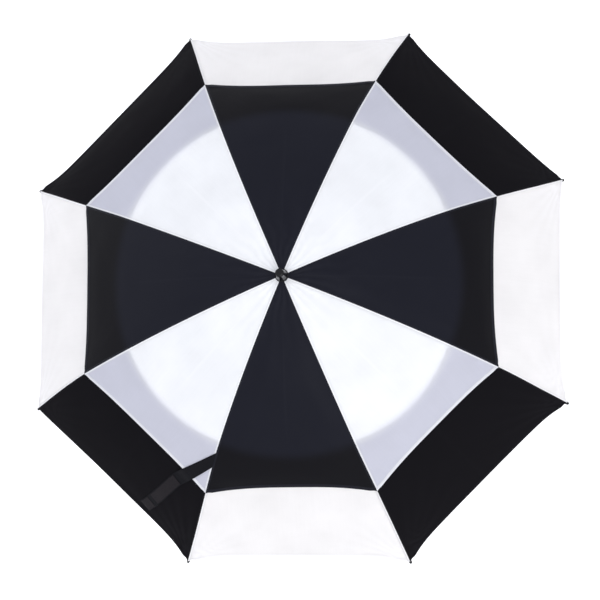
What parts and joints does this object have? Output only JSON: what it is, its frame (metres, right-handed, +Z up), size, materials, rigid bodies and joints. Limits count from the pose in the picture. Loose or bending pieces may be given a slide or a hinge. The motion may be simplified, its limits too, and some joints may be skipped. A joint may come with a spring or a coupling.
{
  "type": "golf umbrella",
  "caption": "Open vented golf umbrella with black and white double canopy, folding ribs and stretchers, sliding runner with catches, steel shaft and straight foam grip.",
  "frame": {"origin": "centre of the flat end of the handle, where the held umbrella ends", "axes": "+Z up the shaft to the ferrule; a white upper panel's middle line lies at 45 degrees between +X and +Y"},
  "size_m": [1.2196, 1.2196, 0.9873],
  "materials": {
    "steel": "plated, satin",
    "black_fibreglass": "semi-gloss resin",
    "black_plastic": "glossy moulded",
    "foam_grip": "matt closed-cell foam",
    "black_cloth": "tight plain weave, slight sheen",
    "white_cloth": "tight plain weave, slight sheen, lets light through",
    "black_webbing": "doubled cloth strap with hook-and-loop patch"
  },
  "bodies": {
    "frame": {"shaft": "steel", "top_notch": "black_plastic", "notch_wire": "steel", "crown_cap": "black_plastic", "ferrule": "black_plastic", "handle_grip": "foam_grip", "handle_collar": "black_plastic", "end_cap": "black_plastic"},
    "runner": {"runner": "black_plastic"},
    "top_catch": {"top_catch": "steel"},
    "bottom_catch": {"bottom_catch": "steel"},
    "rib_1": {"rib_1": "black_fibreglass", "rib_tip_1": "black_plastic"},
    "stretcher_1": {"stretcher_1": "steel"},
    "rib_2": {"rib_2": "black_fibreglass", "rib_tip_2": "black_plastic"},
    "stretcher_2": {"stretcher_2": "steel"},
    "rib_3": {"rib_3": "black_fibreglass", "rib_tip_3": "black_plastic"},
    "stretcher_3": {"stretcher_3": "steel"},
    "rib_4": {"rib_4": "black_fibreglass", "rib_tip_4": "black_plastic"},
    "stretcher_4": {"stretcher_4": "steel"},
    "rib_5": {"rib_5": "black_fibreglass", "rib_tip_5": "black_plastic"},
    "stretcher_5": {"stretcher_5": "steel"},
    "rib_6": {"rib_6": "black_fibreglass", "rib_tip_6": "black_plastic"},
    "stretcher_6": {"stretcher_6": "steel"},
    "rib_7": {"rib_7": "black_fibreglass", "rib_tip_7": "black_plastic"},
    "stretcher_7": {"stretcher_7": "steel"},
    "rib_8": {"rib_8": "black_fibreglass", "rib_tip_8": "black_plastic"},
    "stretcher_8": {"stretcher_8": "steel"},
    "fold_1a": {"lower_gore_1a": "black_cloth", "upper_gore_1": "white_cloth"},
    "fold_1b": {"lower_gore_1b": "black_cloth"},
    "fold_2a": {"lower_gore_2a": "white_cloth", "upper_gore_2": "black_cloth"},
    "fold_2b": {"lower_gore_2b": "white_cloth"},
    "fold_3a": {"lower_gore_3a": "black_cloth", "upper_gore_3": "white_cloth"},
    "fold_3b": {"lower_gore_3b": "black_cloth"},
    "fold_4a": {"lower_gore_4a": "white_cloth", "upper_gore_4": "black_cloth"},
    "fold_4b": {"lower_gore_4b": "white_cloth"},
    "fold_5a": {"lower_gore_5a": "black_cloth", "upper_gore_5": "white_cloth"},
    "fold_5b": {"lower_gore_5b": "black_cloth", "tie_strap": "black_webbing"},
    "fold_6a": {"lower_gore_6a": "white_cloth", "upper_gore_6": "black_cloth"},
    "fold_6b": {"lower_gore_6b": "white_cloth"},
    "fold_7a": {"lower_gore_7a": "black_cloth", "upper_gore_7": "white_cloth"},
    "fold_7b": {"lower_gore_7b": "black_cloth"},
    "fold_8a": {"lower_gore_8a": "white_cloth", "upper_gore_8": "black_cloth"},
    "fold_8b": {"lower_gore_8b": "white_cloth"}
  },
  "joints": [
    {"name": "runner_slide", "type": "slide", "parent": "frame", "child": "runner", "axis": [0, 0, -1], "range_m": [0, 0.46224], "deforming": ["lower_gore_1a", "upper_gore_1", "lower_gore_1b", "lower_gore_2a", "upper_gore_2", "lower_gore_2b", "lower_gore_3a", "upper_gore_3", "lower_gore_3b", "lower_gore_4a", "upper_gore_4", "lower_gore_4b", "lower_gore_5a", "upper_gore_5", "lower_gore_5b", "lower_gore_6a", "upper_gore_6", "lower_gore_6b", "lower_gore_7a", "upper_gore_7", "lower_gore_7b", "lower_gore_8a", "upper_gore_8", "lower_gore_8b", "tie_strap", "top_catch", "bottom_catch"]},
    {"name": "rib_1_hinge", "type": "hinge", "parent": "frame", "child": "rib_1", "pos_m": [0.01109, 0.00459, 0.938], "axis": [-0.3827, 0.9239, 0], "range_deg": [0, 61.56]},
    {"name": "stretcher_1_hinge", "type": "hinge", "parent": "rib_1", "child": "stretcher_1", "pos_m": [0.31487, 0.13043, 0.84452], "axis": [0.3827, -0.9239, 0], "range_deg": [0, 119.24]},
    {"name": "rib_2_hinge", "type": "hinge", "parent": "frame", "child": "rib_2", "pos_m": [0.00459, 0.01109, 0.938], "axis": [-0.9239, 0.3827, 0], "range_deg": [0, 61.56]},
    {"name": "stretcher_2_hinge", "type": "hinge", "parent": "rib_2", "child": "stretcher_2", "pos_m": [0.13043, 0.31487, 0.84452], "axis": [0.9239, -0.3827, 0], "range_deg": [0, 119.24]},
    {"name": "rib_3_hinge", "type": "hinge", "parent": "frame", "child": "rib_3", "pos_m": [-0.00459, 0.01109, 0.938], "axis": [-0.9239, -0.3827, 0], "range_deg": [0, 61.56]},
    {"name": "stretcher_3_hinge", "type": "hinge", "parent": "rib_3", "child": "stretcher_3", "pos_m": [-0.13043, 0.31487, 0.84452], "axis": [0.9239, 0.3827, 0], "range_deg": [0, 119.24]},
    {"name": "rib_4_hinge", "type": "hinge", "parent": "frame", "child": "rib_4", "pos_m": [-0.01109, 0.00459, 0.938], "axis": [-0.3827, -0.9239, 0], "range_deg": [0, 61.56]},
    {"name": "stretcher_4_hinge", "type": "hinge", "parent": "rib_4", "child": "stretcher_4", "pos_m": [-0.31487, 0.13043, 0.84452], "axis": [0.3827, 0.9239, 0], "range_deg": [0, 119.24]},
    {"name": "rib_5_hinge", "type": "hinge", "parent": "frame", "child": "rib_5", "pos_m": [-0.01109, -0.00459, 0.938], "axis": [0.3827, -0.9239, 0], "range_deg": [0, 61.56]},
    {"name": "stretcher_5_hinge", "type": "hinge", "parent": "rib_5", "child": "stretcher_5", "pos_m": [-0.31487, -0.13043, 0.84452], "axis": [-0.3827, 0.9239, 0], "range_deg": [0, 119.24]},
    {"name": "rib_6_hinge", "type": "hinge", "parent": "frame", "child": "rib_6", "pos_m": [-0.00459, -0.01109, 0.938], "axis": [0.9239, -0.3827, 0], "range_deg": [0, 61.56]},
    {"name": "stretcher_6_hinge", "type": "hinge", "parent": "rib_6", "child": "stretcher_6", "pos_m": [-0.13043, -0.31487, 0.84452], "axis": [-0.9239, 0.3827, 0], "range_deg": [0, 119.24]},
    {"name": "rib_7_hinge", "type": "hinge", "parent": "frame", "child": "rib_7", "pos_m": [0.00459, -0.01109, 0.938], "axis": [0.9239, 0.3827, 0], "range_deg": [0, 61.56]},
    {"name": "stretcher_7_hinge", "type": "hinge", "parent": "rib_7", "child": "stretcher_7", "pos_m": [0.13043, -0.31487, 0.84452], "axis": [-0.9239, -0.3827, 0], "range_deg": [0, 119.24]},
    {"name": "rib_8_hinge", "type": "hinge", "parent": "frame", "child": "rib_8", "pos_m": [0.01109, -0.00459, 0.938], "axis": [0.3827, 0.9239, 0], "range_deg": [0, 61.56]},
    {"name": "stretcher_8_hinge", "type": "hinge", "parent": "rib_8", "child": "stretcher_8", "pos_m": [0.31487, -0.13043, 0.84452], "axis": [-0.3827, -0.9239, 0], "range_deg": [0, 119.24]},
    {"name": "fold_1a_hinge", "type": "hinge", "parent": "rib_1", "child": "fold_1a", "pos_m": [0.01017, 0.0068, 0.938], "axis": [-0.2181, -0.9187, -0.3294], "range_deg": [0, 26.06]},
    {"name": "fold_1b_hinge", "type": "hinge", "parent": "rib_2", "child": "fold_1b", "pos_m": [0.0068, 0.01017, 0.938], "axis": [0.9187, 0.2181, 0.3294], "range_deg": [0, 26.06]},
    {"name": "fold_2a_hinge", "type": "hinge", "parent": "rib_2", "child": "fold_2a", "pos_m": [0.00239, 0.012, 0.938], "axis": [0.4954, -0.8038, -0.3294], "range_deg": [0, 26.06]},
    {"name": "fold_2b_hinge", "type": "hinge", "parent": "rib_3", "child": "fold_2b", "pos_m": [-0.00239, 0.012, 0.938], "axis": [0.4954, 0.8038, 0.3294], "range_deg": [0, 26.06]},
    {"name": "fold_3a_hinge", "type": "hinge", "parent": "rib_3", "child": "fold_3a", "pos_m": [-0.0068, 0.01017, 0.938], "axis": [0.9187, -0.2181, -0.3294], "range_deg": [0, 26.06]},
    {"name": "fold_3b_hinge", "type": "hinge", "parent": "rib_4", "child": "fold_3b", "pos_m": [-0.01017, 0.0068, 0.938], "axis": [-0.2181, 0.9187, 0.3294], "range_deg": [0, 26.06]},
    {"name": "fold_4a_hinge", "type": "hinge", "parent": "rib_4", "child": "fold_4a", "pos_m": [-0.012, 0.00239, 0.938], "axis": [0.8038, 0.4954, -0.3294], "range_deg": [0, 26.06]},
    {"name": "fold_4b_hinge", "type": "hinge", "parent": "rib_5", "child": "fold_4b", "pos_m": [-0.012, -0.00239, 0.938], "axis": [-0.8038, 0.4954, 0.3294], "range_deg": [0, 26.06]},
    {"name": "fold_5a_hinge", "type": "hinge", "parent": "rib_5", "child": "fold_5a", "pos_m": [-0.01017, -0.0068, 0.938], "axis": [0.2181, 0.9187, -0.3294], "range_deg": [0, 26.06]},
    {"name": "fold_5b_hinge", "type": "hinge", "parent": "rib_6", "child": "fold_5b", "pos_m": [-0.0068, -0.01017, 0.938], "axis": [-0.9187, -0.2181, 0.3294], "range_deg": [0, 26.06]},
    {"name": "fold_6a_hinge", "type": "hinge", "parent": "rib_6", "child": "fold_6a", "pos_m": [-0.00239, -0.012, 0.938], "axis": [-0.4954, 0.8038, -0.3294], "range_deg": [0, 26.06]},
    {"name": "fold_6b_hinge", "type": "hinge", "parent": "rib_7", "child": "fold_6b", "pos_m": [0.00239, -0.012, 0.938], "axis": [-0.4954, -0.8038, 0.3294], "range_deg": [0, 26.06]},
    {"name": "fold_7a_hinge", "type": "hinge", "parent": "rib_7", "child": "fold_7a", "pos_m": [0.0068, -0.01017, 0.938], "axis": [-0.9187, 0.2181, -0.3294], "range_deg": [0, 26.06]},
    {"name": "fold_7b_hinge", "type": "hinge", "parent": "rib_8", "child": "fold_7b", "pos_m": [0.01017, -0.0068, 0.938], "axis": [0.2181, -0.9187, 0.3294], "range_deg": [0, 26.06]},
    {"name": "fold_8a_hinge", "type": "hinge", "parent": "rib_8", "child": "fold_8a", "pos_m": [0.012, -0.00239, 0.938], "axis": [-0.8038, -0.4954, -0.3294], "range_deg": [0, 26.06]},
    {"name": "fold_8b_hinge", "type": "hinge", "parent": "rib_1", "child": "fold_8b", "pos_m": [0.012, 0.00239, 0.938], "axis": [0.8038, -0.4954, 0.3294], "range_deg": [0, 26.06]},
    {"name": "top_catch_press", "type": "hinge", "parent": "frame", "child": "top_catch", "pos_m": [0.0053, 0, 0.64531], "axis": [0, -1, 0], "range_deg": [0, 5.5], "stiffness_Nm_per_rad": 1.5},
    {"name": "bottom_catch_press", "type": "hinge", "parent": "frame", "child": "bottom_catch", "pos_m": [0.0053, 0, 0.30367], "axis": [0, 1, 0], "range_deg": [0, 5.5], "stiffness_Nm_per_rad": 1.5}
  ],
  "couplings": [
    {"joint": "rib_1_hinge", "follows": "runner_slide", "rad_per_m": 2.324},
    {"joint": "stretcher_1_hinge", "follows": "runner_slide", "rad_per_m": 4.502},
    {"joint": "rib_2_hinge", "follows": "runner_slide", "rad_per_m": 2.324},
    {"joint": "stretcher_2_hinge", "follows": "runner_slide", "rad_per_m": 4.502},
    {"joint": "rib_3_hinge", "follows": "runner_slide", "rad_per_m": 2.324},
    {"joint": "stretcher_3_hinge", "follows": "runner_slide", "rad_per_m": 4.502},
    {"joint": "rib_4_hinge", "follows": "runner_slide", "rad_per_m": 2.324},
    {"joint": "stretcher_4_hinge", "follows": "runner_slide", "rad_per_m": 4.502},
    {"joint": "rib_5_hinge", "follows": "runner_slide", "rad_per_m": 2.324},
    {"joint": "stretcher_5_hinge", "follows": "runner_slide", "rad_per_m": 4.502},
    {"joint": "rib_6_hinge", "follows": "runner_slide", "rad_per_m": 2.324},
    {"joint": "stretcher_6_hinge", "follows": "runner_slide", "rad_per_m": 4.502},
    {"joint": "rib_7_hinge", "follows": "runner_slide", "rad_per_m": 2.324},
    {"joint": "stretcher_7_hinge", "follows": "runner_slide", "rad_per_m": 4.502},
    {"joint": "rib_8_hinge", "follows": "runner_slide", "rad_per_m": 2.324},
    {"joint": "stretcher_8_hinge", "follows": "runner_slide", "rad_per_m": 4.502},
    {"joint": "fold_1a_hinge", "follows": "runner_slide", "rad_per_m": 0.98376},
    {"joint": "fold_1b_hinge", "follows": "runner_slide", "rad_per_m": 0.98376},
    {"joint": "fold_2a_hinge", "follows": "runner_slide", "rad_per_m": 0.98376},
    {"joint": "fold_2b_hinge", "follows": "runner_slide", "rad_per_m": 0.98376},
    {"joint": "fold_3a_hinge", "follows": "runner_slide", "rad_per_m": 0.98376},
    {"joint": "fold_3b_hinge", "follows": "runner_slide", "rad_per_m": 0.98376},
    {"joint": "fold_4a_hinge", "follows": "runner_slide", "rad_per_m": 0.98376},
    {"joint": "fold_4b_hinge", "follows": "runner_slide", "rad_per_m": 0.98376},
    {"joint": "fold_5a_hinge", "follows": "runner_slide", "rad_per_m": 0.98376},
    {"joint": "fold_5b_hinge", "follows": "runner_slide", "rad_per_m": 0.98376},
    {"joint": "fold_6a_hinge", "follows": "runner_slide", "rad_per_m": 0.98376},
    {"joint": "fold_6b_hinge", "follows": "runner_slide", "rad_per_m": 0.98376},
    {"joint": "fold_7a_hinge", "follows": "runner_slide", "rad_per_m": 0.98376},
    {"joint": "fold_7b_hinge", "follows": "runner_slide", "rad_per_m": 0.98376},
    {"joint": "fold_8a_hinge", "follows": "runner_slide", "rad_per_m": 0.98376},
    {"joint": "fold_8b_hinge", "follows": "runner_slide", "rad_per_m": 0.98376}
  ]
}
